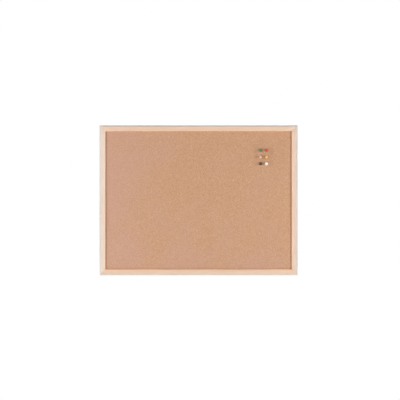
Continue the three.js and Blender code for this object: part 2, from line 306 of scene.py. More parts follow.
class Wiring:
    """Short calls that add nodes to a material, a world or a node group and join them."""

    def __init__(self, tree: bpy.types.NodeTree) -> None:
        """Keep the tree that the nodes go into."""
        self.tree = tree

    def feed(self, socket: Link, value: Feed) -> None:
        """Link an input to another socket, or set it to a value.

        Args:
            socket: The input.
            value: The socket to link, or the value.
        """
        if isinstance(value, Link):
            self.tree.links.new(value, socket)
        else:
            socket.default_value = value

    def node(self, kind: str, feeds: dict[str | int, Feed] | None = None, **settings: Any) -> bpy.types.Node:
        """Add a node.

        Args:
            kind: Its type without the leading ShaderNode.
            feeds: What each input gets, by its name or number.
            **settings: The node's options.

        Returns:
            The node.
        """
        made = self.tree.nodes.new("ShaderNode" + kind)
        for option, value in settings.items():
            setattr(made, option, value)
        for key, value in (feeds or {}).items():
            self.feed(made.inputs[key], value)
        return made

    def math(self, operation: str, *values: Feed, clamp: bool = False) -> Link:
        """Add a Math node and return its value."""
        return self.node("Math", dict(enumerate(values)), operation=operation, use_clamp=clamp).outputs[0]

    def vector(self, operation: str, *values: Feed) -> Link:
        """Add a Vector Math node and return its vector, or its value where the operation gives one."""
        made = self.node("VectorMath", dict(enumerate(values)), operation=operation)
        return made.outputs["Value" if operation == "LENGTH" else "Vector"]

    def blend(self, factor: Feed, first: Feed, second: Feed) -> Link:
        """Mix two colours and return the result."""
        return self.node("Mix", {0: factor, 6: first, 7: second}, data_type="RGBA").outputs[2]

    def spread(self, value: Feed, low: float, high: float, to_low: float = 0.0, to_high: float = 1.0) -> Link:
        """Map the range low to high to another range, and clamp what falls outside."""
        feeds = {"Value": value, "From Min": low, "From Max": high, "To Min": to_low, "To Max": to_high}
        return self.node("MapRange", feeds).outputs["Result"]

    def split(self, vector: Link) -> Outputs:
        """Return the x, y and z of a vector, by the names X, Y and Z."""
        return self.node("SeparateXYZ", {"Vector": vector}).outputs

    def ramp(self, factor: Feed, stops: Sequence[tuple[float, Colour]]) -> Link:
        """Turn a value into a colour.

        Args:
            factor: The value.
            stops: Places from 0 to 1 in rising order, each with its colour.

        Returns:
            The colour.
        """
        made = self.node("ValToRGB", {"Fac": factor})
        elements = made.color_ramp.elements
        elements.remove(elements[-1])
        elements[0].position, elements[0].color = stops[0]
        for place, colour in stops[1:]:
            elements.new(place).color = colour
        return made.outputs["Color"]

    def noise(self, place: Link, scale: float | tuple[float, float, float], detail: float = 2.0,
              roughness: float = 0.5, kind: Kind = Kind.VALUE) -> Link:
        """Add a noise.

        Args:
            place: The vector that it follows.
            scale: How often it changes in a metre, in every direction or along x, y and z.
            detail: How many finer layers it has.
            roughness: How strong the finer layers are.
            kind: VALUE for one value, or COLOUR for three that don't depend on each other.

        Returns:
            The noise.
        """
        if isinstance(scale, tuple):
            place, scale = self.vector("MULTIPLY", place, scale), 1.0
        feeds = {"Vector": place, "Scale": scale, "Detail": detail, "Roughness": roughness}
        return self.node("TexNoise", feeds).outputs["Color" if kind is Kind.COLOUR else "Fac"]

    @classmethod
    def surface_of(cls, owner: bpy.types.Material | bpy.types.World, output: str) -> tuple["Wiring", Link]:
        """Empty the tree of a material or a world and give it an output.

        Args:
            owner: The material or the world.
            output: The type of its output node.

        Returns:
            The tree's wiring, and the output's input for the surface.
        """
        owner.use_nodes = True
        owner.node_tree.nodes.clear()
        wiring = cls(owner.node_tree)
        return wiring, wiring.node(output).inputs["Surface"]


class Effect:
    """A shader node group that several materials share; its first input, Vector, is the place on a piece."""

    name: str
    inputs: tuple[tuple[str, Kind], ...]  # the inputs after Vector
    outputs: tuple[tuple[str, Kind], ...] = (
        ("Color", Kind.COLOUR), ("Roughness", Kind.VALUE), ("Height", Kind.VALUE))

    @staticmethod
    def wire(wiring: Wiring, place: Link, given: Outputs) -> tuple[Link, ...]:
        """Build the nodes from the group's inputs to what its outputs get; each effect has its own."""
        raise NotImplementedError

    @classmethod
    def tree(cls) -> bpy.types.NodeTree:
        """Find the group, or build it the first time that it is asked for.

        Returns:
            The group.
        """
        found = bpy.data.node_groups.get(cls.name)
        if found is None:
            found = bpy.data.node_groups.new(cls.name, "ShaderNodeTree")
            inputs = (("Vector", Kind.VECTOR), *cls.inputs)
            for in_out, sockets in (("INPUT", inputs), ("OUTPUT", cls.outputs)):
                for label, kind in sockets:
                    found.interface.new_socket(label, in_out=in_out, socket_type=kind.value)
            given = found.nodes.new("NodeGroupInput").outputs
            result = found.nodes.new("NodeGroupOutput").inputs
            for number, link in enumerate(cls.wire(Wiring(found), given["Vector"], given)):
                found.links.new(link, result[number])
        return found

    @classmethod
    def use(cls, wiring: Wiring, feeds: dict[str, Feed]) -> tuple[Link, ...]:
        """Place the group in a material with its own values, and return the group's outputs in order."""
        return tuple(wiring.node("Group", feeds, node_tree=cls.tree()).outputs)


class PineGrain(Effect):
    """Growth rings, fibres and resin ducts of pine, along the vector's x and round its x axis."""

    name = "pine_grain"
    # The last input masks the greying: partly edge wear, partly painted shade of the rounded outer edge.
    inputs = (("Early Wood", Kind.COLOUR), ("Late Wood", Kind.COLOUR), ("Ring Width", Kind.VALUE),
              ("Handled", Kind.VALUE))

    @staticmethod
    def wire(wiring: Wiring, place: Link, given: Outputs) -> tuple[Link, ...]:
        """Wire the grain.

        A ring's place is its distance from the pith, the vector's x axis, over the ring width. A slow noise
        bends the rings along the bar. The late wood is the narrow band at the end of each ring, and each
        ring has its own depth of colour. Towards the frame's outer edge the wood is greyer and darker, partly
        wear and partly painted shade of the rounded edge; towards the inner lip it is a little brighter, a
        painted highlight.

        Args:
            wiring: The group's wiring.
            place: The place, with x along the grain.
            given: The colours, the ring width and the mask of edge wear and painted shade.

        Returns:
            The colour, the roughness and the height.
        """
        drift = wiring.noise(place, (3.0, 14.0, 14.0), kind=Kind.COLOUR)
        sway = wiring.vector("SUBTRACT", drift, (0.5, 0.5, 0.5))
        bent = wiring.vector("MULTIPLY_ADD", sway, (0.0, 22.0 * MM, 22.0 * MM), place)
        distance = wiring.vector("LENGTH", wiring.vector("MULTIPLY", bent, (0.0, 1.0, 1.0)))
        waver = wiring.noise(place, (9.0, 160.0, 160.0), detail=3.0)
        ring = wiring.math("MULTIPLY_ADD", waver, 0.7, wiring.math("DIVIDE", distance, given["Ring Width"]))
        within = wiring.math("FRACT", ring)
        rise = wiring.math("POWER", wiring.spread(within, 0.15, 0.88), 2.0)
        late = wiring.math("MULTIPLY", rise, wiring.spread(within, 1.0, 0.95))
        mood = wiring.node("TexWhiteNoise", {"W": wiring.math("FLOOR", ring)}, noise_dimensions="1D")
        depth = wiring.math("MULTIPLY", late, wiring.spread(mood.outputs["Value"], 0.0, 1.0, 0.35, 1.0))
        fibres = wiring.noise(place, (14.0, 1150.0, 1150.0), detail=4.0, roughness=0.6)
        ducts = wiring.spread(wiring.noise(place, (75.0, 2600.0, 2600.0), detail=1.0), 0.66, 0.74)
        cloud = wiring.noise(place, (5.0, 40.0, 40.0))
        colour = given["Early Wood"]
        for share in (wiring.math("MULTIPLY", depth, 0.62), wiring.spread(fibres, 0.34, 0.66, 0.0, 0.34),
                      wiring.spread(cloud, 0.35, 0.7, 0.0, 0.22)):
            colour = wiring.blend(share, colour, given["Late Wood"])
        # Painted shade and highlight, with some real wear: greyer and darker towards the outer edge, a little
        # brighter towards the inner lip.
        greyed = wiring.node("HueSaturation", {
            "Saturation": wiring.spread(given["Handled"], 0.0, 1.0, 1.04, 0.62),
            "Value": wiring.spread(given["Handled"], 0.0, 1.0, 1.04, 0.91),
            "Color": wiring.blend(wiring.math("MULTIPLY", ducts, 0.24), colour, RESIN),
        })
        grooved = wiring.math("SUBTRACT", fibres, wiring.math("MULTIPLY", ducts, 0.8))
        height = wiring.math("ADD", grooved, wiring.math("MULTIPLY", depth, 0.5))
        return greyed.outputs["Color"], wiring.spread(fibres, 0.2, 0.8, 0.5, 0.68), height


class PaperFibre(Effect):
    """Matted fibres and flecks of kraft paper or soft board, the same in every direction."""

    name = "paper_fibre"
    inputs = (("Pulp", Kind.COLOUR), ("Fibre", Kind.COLOUR), ("Fineness", Kind.VALUE))
    outputs = (("Color", Kind.COLOUR), ("Height", Kind.VALUE))

    @staticmethod
    def wire(wiring: Wiring, place: Link, given: Outputs) -> tuple[Link, ...]:
        """Wire the fibres: noises stretched four ways, the highest on top, a slow cloud and sparse flecks.

        Args:
            wiring: The group's wiring.
            place: The place on the sheet.
            given: The two colours, and how many times finer than on kraft paper the fibres are.

        Returns:
            The colour and the height.
        """
        scaled = wiring.node("VectorMath", {0: place, "Scale": given["Fineness"]}, operation="SCALE")
        spot = scaled.outputs["Vector"]
        matted: Feed = 0.0
        for turn in (0.2, 0.9, 1.8, 2.6):
            laid = wiring.node("Mapping", {"Vector": spot, "Rotation": (0.0, turn, 0.0)}).outputs["Vector"]
            fibres = wiring.noise(laid, (420.0, 1500.0, 2600.0), detail=3.0, roughness=0.6)
            matted = wiring.math("MAXIMUM", matted, fibres)
        cloud = wiring.spread(wiring.noise(spot, 34.0, detail=4.0), 0.3, 0.7, 0.6, 1.2)
        tone = wiring.math("MULTIPLY", wiring.spread(matted, 0.52, 0.72, 1.0, 0.0), cloud)
        base = wiring.blend(wiring.math("MULTIPLY", tone, 0.55, clamp=True), given["Pulp"], given["Fibre"])
        flecks = wiring.spread(wiring.noise(spot, 1300.0, detail=1.0), 0.74, 0.8, 0.0, 0.5)
        return wiring.blend(flecks, base, FLECK), matted


class PlatedSurface(Effect):
    """Brush lines, clouding and small dull marks of plated or drawn steel."""

    name = "plated_surface"
    inputs = (("Metal", Kind.COLOUR), ("Tarnish", Kind.COLOUR))

    @staticmethod
    def wire(wiring: Wiring, place: Link, given: Outputs) -> tuple[Link, ...]:
        """Wire the metal: fine lines along z, a cloud of tarnish and marks where a noise peaks.

        Args:
            wiring: The group's wiring.
            place: The place on the metal.
            given: The clean and the tarnished colour.

        Returns:
            The colour, the roughness and the height.
        """
        lines = wiring.noise(place, (9000.0, 9000.0, 700.0), detail=3.0)
        marks = wiring.spread(wiring.noise(place, 1500.0), 0.6, 0.72)
        cloud = wiring.spread(wiring.noise(place, 420.0, detail=3.0), 0.4, 0.68, 0.0, 0.55)
        dulled = wiring.math("ADD", cloud, wiring.math("MULTIPLY", marks, 0.35), clamp=True)
        roughness = wiring.math("MULTIPLY_ADD", dulled, 0.22, wiring.spread(lines, 0.3, 0.7, 0.24, 0.36))
        return wiring.blend(dulled, given["Metal"], given["Tarnish"]), roughness, lines


class MouldedSurface(Effect):
    """Faint flow marks, handling scuffs and ripple of a moulded plastic part."""

    name = "moulded_surface"
    inputs = (("Plastic", Kind.COLOUR), ("Deep", Kind.COLOUR))

    @staticmethod
    def wire(wiring: Wiring, place: Link, given: Outputs) -> tuple[Link, ...]:
        """Wire the plastic: a slow swirl of tone, and short scuffs that dull the gloss.

        Args:
            wiring: The group's wiring.
            place: The place on the moulding.
            given: The plastic's colour and its deeper tone.

        Returns:
            The colour, the roughness and the height.
        """
        swirl = wiring.noise(place, 210.0)
        worn = wiring.spread(wiring.noise(place, (3200.0, 500.0, 1700.0)), 0.58, 0.72)
        colour = wiring.blend(wiring.spread(swirl, 0.35, 0.65, 0.0, 0.4), given["Plastic"], given["Deep"])
        return colour, wiring.spread(worn, 0.0, 1.0, 0.2, 0.38), swirl


class Bar(Enum):
    """The bars of the frame, each by the direction of its outer edge, along x and z."""

    TOP_RAIL = (0.0, 1.0)
    BOTTOM_RAIL = (0.0, -1.0)
    LEFT_STILE = (-1.0, 0.0)
    RIGHT_STILE = (1.0, 0.0)

    @property
    def upright(self) -> bool:
        """Tell whether the bar runs up the board."""
        return self.value[0] != 0.0


@dataclass(frozen=True)
class Finish:
    """A material of the record, with what is the same all over it."""

    label: str  # the material's name
    slot: str  # its slot in the record
    relief: Pair = (0.01 * MM, 0.5)  # how far its marks stand up, and the strength of their shading
    metallic: float = 0.0  # 1 for bare metal and 0 for everything else
    specular: float = 0.5  # strength of the reflection of what isn't metal
    coat: Pair = (0.0, 0.03)  # weight and roughness of a clear skin

    def material(self) -> bpy.types.Material:
        """Find the material, or build it the first time that it is asked for.

        Returns:
            The material.
        """
        made = bpy.data.materials.get(self.label)
        if made is None:
            made = bpy.data.materials.new(self.label)
            wiring, surface = Wiring.surface_of(made, "OutputMaterial")
            colour, roughness, height = self.surface(wiring, wiring.node("TexCoord").outputs["Object"])
            distance, strength = self.relief
            bump = wiring.node("Bump", {"Height": height, "Distance": distance, "Strength": strength})
            shader = wiring.node("BsdfPrincipled", {
                "Base Color": colour,
                "Metallic": self.metallic,
                "Roughness": roughness,
                "Specular IOR Level": self.specular,
                "Coat Weight": self.coat[0],
                "Coat Roughness": self.coat[1],
                "Normal": bump.outputs["Normal"],
            })
            wiring.feed(surface, shader.outputs["BSDF"])
        return made

    def surface(self, wiring: Wiring, place: Link) -> tuple[Feed, ...]:
        """Wire and return the colour, the roughness and the height at a place; each finish has its own."""
        raise NotImplementedError

    def dress(self, piece: Part) -> None:
        """Give a piece this finish.

        Args:
            piece: The piece, whose own materials go.
        """
        piece.data.materials.clear()
        piece.data.materials.append(self.material())


@dataclass(frozen=True, kw_only=True)
class Pine(Finish):
    """Sanded, unvarnished pine whose grain runs along a bar."""

    relief: Pair = (0.05 * MM, 0.6)
    specular: float = 0.3
    bar: Bar  # the bar that is made of it
    outer: float  # distance of the bar's outer edge from the board's middle
    pith: Pair  # where the tree's middle lies, seen from the bar: depth and distance across
    start: float  # how far along the log the bar was sawn
    early: Colour  # the wide pale bands
    late: Colour  # the narrow dark bands
    handled: Pair = (17.0 * MM, 3.0 * MM)  # how far in from that edge the greying by wear and painted shade begins, and where it is full
    edge_wear_and_shade_depth: Pair = (-9.0 * MM, -14.5 * MM)  # up to which y the greying is faint, and from which full
    faint: float = 0.3  # how strong the faint greying is
    ring: float = 2.4 * MM  # width of a growth ring

    def surface(self, wiring: Wiring, place: Link) -> tuple[Feed, ...]:
        """Lay the grain along the bar: turn the pattern about Y, then move it to its pith.

        The greying and darkening, partly wear and partly painted shade of the rounded outer edge, falls off
        evenly from the frame's outer edge inwards, and is faint behind the front; towards the inner lip the
        wood is a little brighter, a painted highlight.

        Args:
            wiring: The material's wiring.
            place: Object coordinates, which are the board's own, in metres.

        Returns:
            The colour, the roughness and the height.
        """
        turn, across = (math.pi / 2.0, "X") if self.bar.upright else (0.0, "Z")
        laid = wiring.node("Mapping", {
            "Vector": place,
            "Rotation": (0.0, turn, 0.0),
            "Location": (self.start, *self.pith),
        })
        axes = wiring.split(place)
        starts, full = self.handled
        back, front = self.edge_wear_and_shade_depth
        return PineGrain.use(wiring, {
            "Vector": laid.outputs["Vector"],
            "Early Wood": self.early,
            "Late Wood": self.late,
            "Ring Width": self.ring,
            # Mask of wear and painted shade: 1 at the outer edge, 0 towards the inner lip, which is painted a
            # little brighter.
            "Handled": wiring.math(
                "MULTIPLY",
                wiring.spread(wiring.math("ABSOLUTE", axes[across]), self.outer - starts, self.outer - full),
                wiring.spread(axes["Y"], front, back, 1.0, self.faint)),
        })


@dataclass(frozen=True, kw_only=True)
class Cork(Finish):
    """Fine agglomerated cork: small granules of many browns, pressed together and sanded flat."""

    relief: Pair = (0.12 * MM, 0.7)
    specular: float = 0.15
    granule: float = 1.5 * MM  # width of a large granule
    crumb: float = 0.8 * MM  # width of a small one
    wobble: float = 0.7 * MM  # how far the granules' edges stray from straight
    whole: float = 0.45  # share of the large granules that aren't crumbled to small ones
    bark: Pair = (0.955, 0.6)  # share of the small granules that aren't bark, and how strongly bark shows
    joint: Pair = (0.12, 0.26)  # width of the joints, as a share of a granule, and how strongly they show
    rosy_left: Pair = (-0.05, -0.29)  # the x at which the rosy tint starts, and at which it is full
    rosy_down: Pair = (-0.02, -0.21)  # the z at which it starts, and at which it stops growing
    rosy_low: float = 0.6  # how full it is there
    rosy: float = 0.36  # how strong the full tint is
    tones: tuple[tuple[float, Colour], ...] = (  # share of the granules up to each tone, with the tone
        (0.0, srgb(190, 143, 107)),
        (0.25, srgb(199, 153, 119)),
        (0.55, srgb(205, 161, 128)),
        (0.85, srgb(211, 168, 136)),
        (1.0, srgb(219, 178, 146)),
    )

    def surface(self, wiring: Wiring, place: Link) -> tuple[Feed, ...]:
        """Wire the granules: cells of two sizes with a tone each, dark bark bits and the joints between.

        A slow rosy tint grows towards the left and the bottom of the board.

        Args:
            wiring: The material's wiring.
            place: Object coordinates, which are the board's own, in metres.

        Returns:
            The colour, the roughness and the height.
        """
        warp = wiring.noise(place, 900.0, kind=Kind.COLOUR)
        spot = wiring.vector("MULTIPLY_ADD", warp, (self.wobble,) * 3, place)
        large, small = (wiring.node("SeparateColor", {
            "Color": wiring.node("TexVoronoi", {"Vector": spot, "Scale": 1.0 / width}).outputs["Color"],
        }).outputs for width in (self.granule, self.crumb))
        edges = wiring.node("TexVoronoi", {"Vector": spot, "Scale": 1.0 / self.granule},
                            feature="DISTANCE_TO_EDGE").outputs["Distance"]
        crumbled = wiring.math("GREATER_THAN", large["Green"], self.whole)
        mixed = wiring.node("Mix", {0: crumbled, 2: large["Red"], 3: small["Red"]}).outputs[0]
        bark_over, bark_share = self.bark
        bark = wiring.math("MULTIPLY", wiring.math("GREATER_THAN", small["Blue"], bark_over), bark_share)
        barked = wiring.blend(bark, wiring.ramp(mixed, self.tones), BARK)
        joint_width, joint_share = self.joint
        jointed = wiring.blend(wiring.spread(edges, 0.0, joint_width, joint_share, 0.0), barked, JOINT)
        axes = wiring.split(place)
        leftward = wiring.spread(axes["X"], *self.rosy_left)
        downward = wiring.spread(axes["Z"], *self.rosy_down, 0.0, self.rosy_low)
        rosy = wiring.math("ADD", wiring.math("MAXIMUM", leftward, downward),
                           wiring.spread(wiring.noise(place, 9.0), 0.35, 0.65, -0.25, 0.25), clamp=True)
        speck = wiring.noise(place, 2600.0)
        relief = wiring.math("MULTIPLY", wiring.spread(edges, 0.0, 0.25), 0.6)
        height = wiring.math("ADD", relief, wiring.math("MULTIPLY", speck, 0.5))
        colour = wiring.blend(wiring.math("MULTIPLY", rosy, self.rosy), jointed, ROSY)
        return colour, wiring.spread(speck, 0.3, 0.7, 0.82, 0.98), height


@dataclass(frozen=True, kw_only=True)
class Paper(Finish):
    """Kraft paper or soft fibreboard."""

    relief: Pair = (0.04 * MM, 0.8)
    specular: float = 0.2
    pulp: Colour  # the colour between the fibres
    fibre: Colour  # the fibres' colour
    fineness: float = 1.0  # how many times finer than on kraft paper the fibres are
    sheen: float = 0.86  # the roughness, which is the same all over

    def surface(self, wiring: Wiring, place: Link) -> tuple[Feed, ...]:
        """Wire and return the fibres' colour, the even roughness and the fibres' height."""
        colour, height = PaperFibre.use(wiring, {
            "Vector": place, "Pulp": self.pulp, "Fibre": self.fibre, "Fineness": self.fineness})
        return colour, self.sheen, height


@dataclass(frozen=True, kw_only=True)
class Steel(Finish):
    """Plated or bright drawn steel, by its clean and its tarnished colour."""

    metallic: float = 1.0
    metal: Colour
    tarnish: Colour

    def surface(self, wiring: Wiring, place: Link) -> tuple[Feed, ...]:
        """Wire and return the colour, the roughness and the height of the plating's lines and clouds."""
        return PlatedSurface.use(wiring, {"Vector": place, "Metal": self.metal, "Tarnish": self.tarnish})


@dataclass(frozen=True, kw_only=True)
class Plastic(Finish):
    """Glossy moulded plastic, by its colour and the deeper tone of its flow marks."""

    relief: Pair = (0.03 * MM, 0.5)
    coat: Pair = (0.25, 0.08)
    colour: Colour
    deep: Colour

    def surface(self, wiring: Wiring, place: Link) -> tuple[Feed, ...]:
        """Wire and return the colour, the roughness and the height of the flow marks and scuffs."""
        return MouldedSurface.use(wiring, {"Vector": place, "Plastic": self.colour, "Deep": self.deep})


CORK = Cork("agglomerated_cork", "cork")
KRAFT = Paper("kraft_paper", "kraft", pulp=srgb(184, 148, 108), fibre=srgb(150, 114, 78))
FIBREBOARD = Paper("soft_fibreboard", "fibreboard", pulp=srgb(190, 160, 122), fibre=srgb(150, 120, 84),
                   fineness=0.5, relief=(0.12 * MM, 0.8))
ZINC = Steel("zinc_plated_steel", "zinc_steel", metal=srgb(205, 207, 210), tarnish=srgb(168, 166, 158))
BRIGHT = Steel("bright_steel", "needle_steel", metal=srgb(214, 215, 217), tarnish=srgb(188, 188, 186))


# The board's sub-assemblies

def box_of(node: str) -> tuple[np.ndarray, np.ndarray]:
    """Return the lowest and the highest corner of a CAD node as arrays."""
    low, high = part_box(node)
    return np.array(low), np.array(high)


def fit(shell: Shell, name: str, finish: Finish, node: str, body: str = "board",
        cutters: Sequence[Shell] = (), sharp: float = 35.0) -> None:
    """Make a piece, dress it, let it ride on a body in place of a CAD node, and log it.

    Args:
        shell: The piece's shape.
        name: Its name.
        finish: Its finish.
        node: The CAD node that it stands for.
        body: The CAD body that carries it.
        cutters: What is cut out of it: closed shells that don't touch each other.
        sharp: It is shaded smooth, but for edges that turn by more than this many degrees.
    """
    piece = shell.piece(name)
    if cutters:
        carve(piece, cutters)
    piece.data.shade_smooth()
    piece.data.set_sharp_from_angle(angle=math.radians(sharp))
    finish.dress(piece)
    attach(piece, body)
    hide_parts(node)
    log.info("%s: %d faces, %s, on %s", name, len(piece.data.polygons), finish.label, body)


@dataclass
class TimberFrame:
    """Four pine bars, mitred at the corners and grooved to hold the panel."""

    front_round: float = 5.5 * MM  # radius of the outer edge at the front
    inner_round: float = 1.2 * MM  # radius of the two edges beside the panel
    back_round: float = 1.0 * MM  # radius of the outer edge at the back
    support: float = 0.35 * MM  # how far past a round edge a flat side has a point, for flat shading
    front_steps: int = 20  # chords of the outer edge at the front
    lip_steps: int = 8  # chords of the edge beside the cork
    back_steps: int = 6  # chords of the two edges at the back
    mitre_gap: float = 0.015 * MM  # how far each end stays back from the plane of its joint, along the bar
    mitre_ease: float = 0.16 * MM  # radius to which sandpaper has taken the edges of the joint
    ease_steps: int = 3  # chords of such an edge
    lengths: int = 24  # stretches between a bar's two ends
    groove_play: float = 0.15 * MM  # room between the panel and each side of the groove
    groove_bottom_play: float = 0.5 * MM  # room between the panel's edge and the bottom of the groove
    kerf_play: float = 0.05 * MM  # room between a V-nail and the wood that it has cut

    def __post_init__(self) -> None:
        """Take the sizes of the bars and of the groove from the frame."""
        top_low, top_high = box_of("frame_top_rail")
        left_low, _ = box_of("frame_left_stile")
        cork_low, cork_high = box_of("cork_sheet")
        _, backing_high = box_of("backing_sheet")
        self.half_width = -left_low[0]
        self.half_height = top_high[2]
        self.face = top_high[2] - top_low[2]
        self.depth = top_high[1] - top_low[1]
        self.groove_front = -cork_low[1] + self.groove_play
        self.groove_back = -backing_high[1] - self.groove_play
        self.solid = self.half_width - cork_high[0] - self.groove_bottom_play

    def section(self) -> np.ndarray:
        """Draw a bar's outline: its flat sides, the groove, and an arc round each edge that isn't sharp.

        Returns:
            Points with x inwards from the bar's outer edge and y from its back to its face.
        """
        inner, front, back, near = self.inner_round, self.front_round, self.back_round, self.support
        return np.concatenate([
            [(back + near, 0.0), (self.face - inner - near, 0.0)],
            arc((self.face - inner, inner), inner, -90.0, 0.0, self.back_steps),
            [(self.face, self.groove_back), (self.solid, self.groove_back)],
            [(self.solid, self.groove_front), (self.face, self.groove_front)],
            [(self.face, self.depth - inner - near)],
            arc((self.face - inner, self.depth - inner), inner, 0.0, 90.0, self.lip_steps),
            [(self.face - inner - near, self.depth), (front + near, self.depth)],
            arc((front, self.depth - front), front, 90.0, 180.0, self.front_steps),
            [(0.0, self.depth - front - near), (0.0, back + near)],
            arc((back, back), back, 180.0, 270.0, self.back_steps),
        ])

    def bar(self, half_length: float) -> Shell:
        """Carry the outline along x, with the outer edge at z = 0 and the face towards -y.

        A point of the outline that lies u inwards reaches x = half_length - u - gap, which makes the mitre.
        At each end the outline is drawn in over a quarter round, by ease * (1 - sin a), while x moves back
        by ease * (1 - cos a).

        Args:
            half_length: Half of the bar's length over its outer edge.

        Returns:
            The bar.
        """
        outline = self.section()
        ends = []
        for angle in np.radians(np.linspace(0.0, 90.0, self.ease_steps + 1)):
            drawn = inset(outline, self.mitre_ease * (1.0 - np.sin(angle)))
            reach = half_length - drawn[:, 0] - self.mitre_gap - self.mitre_ease * (1.0 - np.cos(angle))
            ends.append((drawn, reach))
        between = [(outline, ends[-1][1] * share) for share in np.linspace(1.0, -1.0, self.lengths + 1)[1:-1]]
        stations = ends + between + [(drawn, -reach) for drawn, reach in reversed(ends)]
        return loft(np.array([rows(reach, -drawn[:, 1], -drawn[:, 0]) for drawn, reach in stations]))

    def build(self, nails: Sequence["CornerNail"]) -> None:
        """Make the four bars, cut the V-nails' kerfs in them and dress each in its own piece of wood.

        Args:
            nails: The V-nails of all the corners.
        """
        kerfs = [nail.shell(self.kerf_play) for nail in nails]
        for bar, pith, start, early, late in (
            (Bar.TOP_RAIL, (0.046, -0.262), 0.3, (239, 207, 179), (212, 165, 127)),
            (Bar.BOTTOM_RAIL, (-0.034, 0.27), 1.7, (237, 204, 175), (209, 162, 123)),
            (Bar.LEFT_STILE, (0.055, 0.245), 2.9, (240, 218, 199), (218, 181, 152)),
            (Bar.RIGHT_STILE, (-0.04, -0.25), 4.1, (237, 210, 188), (211, 170, 139)),
        ):
            name = bar.name.lower()
            outer, half_length = self.half_height, self.half_width
            if bar.upright:
                outer, half_length = half_length, outer
            out_x, out_z = bar.value
            axes = ((out_z, 0.0, -out_x), (0.0, 1.0, 0.0), (out_x, 0.0, out_z))
            pine = Pine("pine_" + name.split("_")[0], "pine", bar=bar, outer=outer, pith=pith, start=start,
                        early=srgb(*early), late=srgb(*late))
            fit(self.bar(half_length).placed((out_x * outer, 0.0, out_z * outer), axes), name, pine,
                f"frame_{name}", cutters=kerfs)


@dataclass
class CornerNail:
    """A V-nail: a thin steel strip folded square, driven into a mitre from behind."""

    node: str  # the CAD node that it stands for
    thickness: float = 0.6 * MM  # thickness of the strip
    fold: float = 0.25 * MM  # inner radius of the fold
    ease: float = 0.08 * MM  # how far its edges are eased at the back and at the tip
    fold_steps: tuple[int, int] = (6, 4)  # chords of the fold's outer side and of its inner side
    overrun: float = 1.0 * MM  # how far its kerf runs out behind the wood

    def __post_init__(self) -> None:
        """Find the fold and the reach of the legs, which point to the frame's outer corner."""
        low, high = box_of(self.node)
        self.sign = np.sign((low + high)[[0, 2]])
        near = np.where(self.sign > 0, low[[0, 2]], high[[0, 2]])
        self.apex = near + self.sign * self.thickness / 2.0
        self.leg = high[0] - low[0] - self.thickness / 2.0
        self.back, self.tip = high[1], low[1]

    def outline(self, play: float) -> np.ndarray:
        """Draw the nail as it is seen from behind, grown by a play.

        Args:
            play: How much it is grown.

        Returns:
            Its points in the board's x and z.
        """
        half = self.thickness / 2.0 + play
        reach = self.leg + play
        outer = self.fold + self.thickness
        outside, inside = self.fold_steps
        centre = -half + outer + play
        flat = np.concatenate([
            [(-half, reach)],
            arc((centre, centre), outer + play, 180.0, 270.0, outside),
            [(reach, -half), (reach, half)],
            arc((half + self.fold, half + self.fold), self.fold, 270.0, 180.0, inside),
            [(half, reach)],
        ])
        return flat * self.sign + self.apex

    def shell(self, play: float = 0.0) -> Shell:
        """Carry the outline from the back to the tip.

        Args:
            play: 0 for the nail, whose edges are eased, or how much wider its kerf is, which runs out
                behind the wood.

        Returns:
            The nail or its kerf.
        """
        full, eased = self.outline(play), self.outline(-self.ease)
        stations = [(eased, self.back), (full, self.back - self.ease), (full, self.tip + self.ease),
                    (eased, self.tip)]
        if play:
            stations = [(full, self.overrun), (full, self.tip - play)]
        return loft(np.array([rows(flat[:, 0], y, flat[:, 1]) for flat, y in stations]))

    def build(self) -> None:
        """Make the nail and dress it."""
        fit(self.shell(), self.node.replace("v_nail", "corner_nail"), ZINC, self.node)


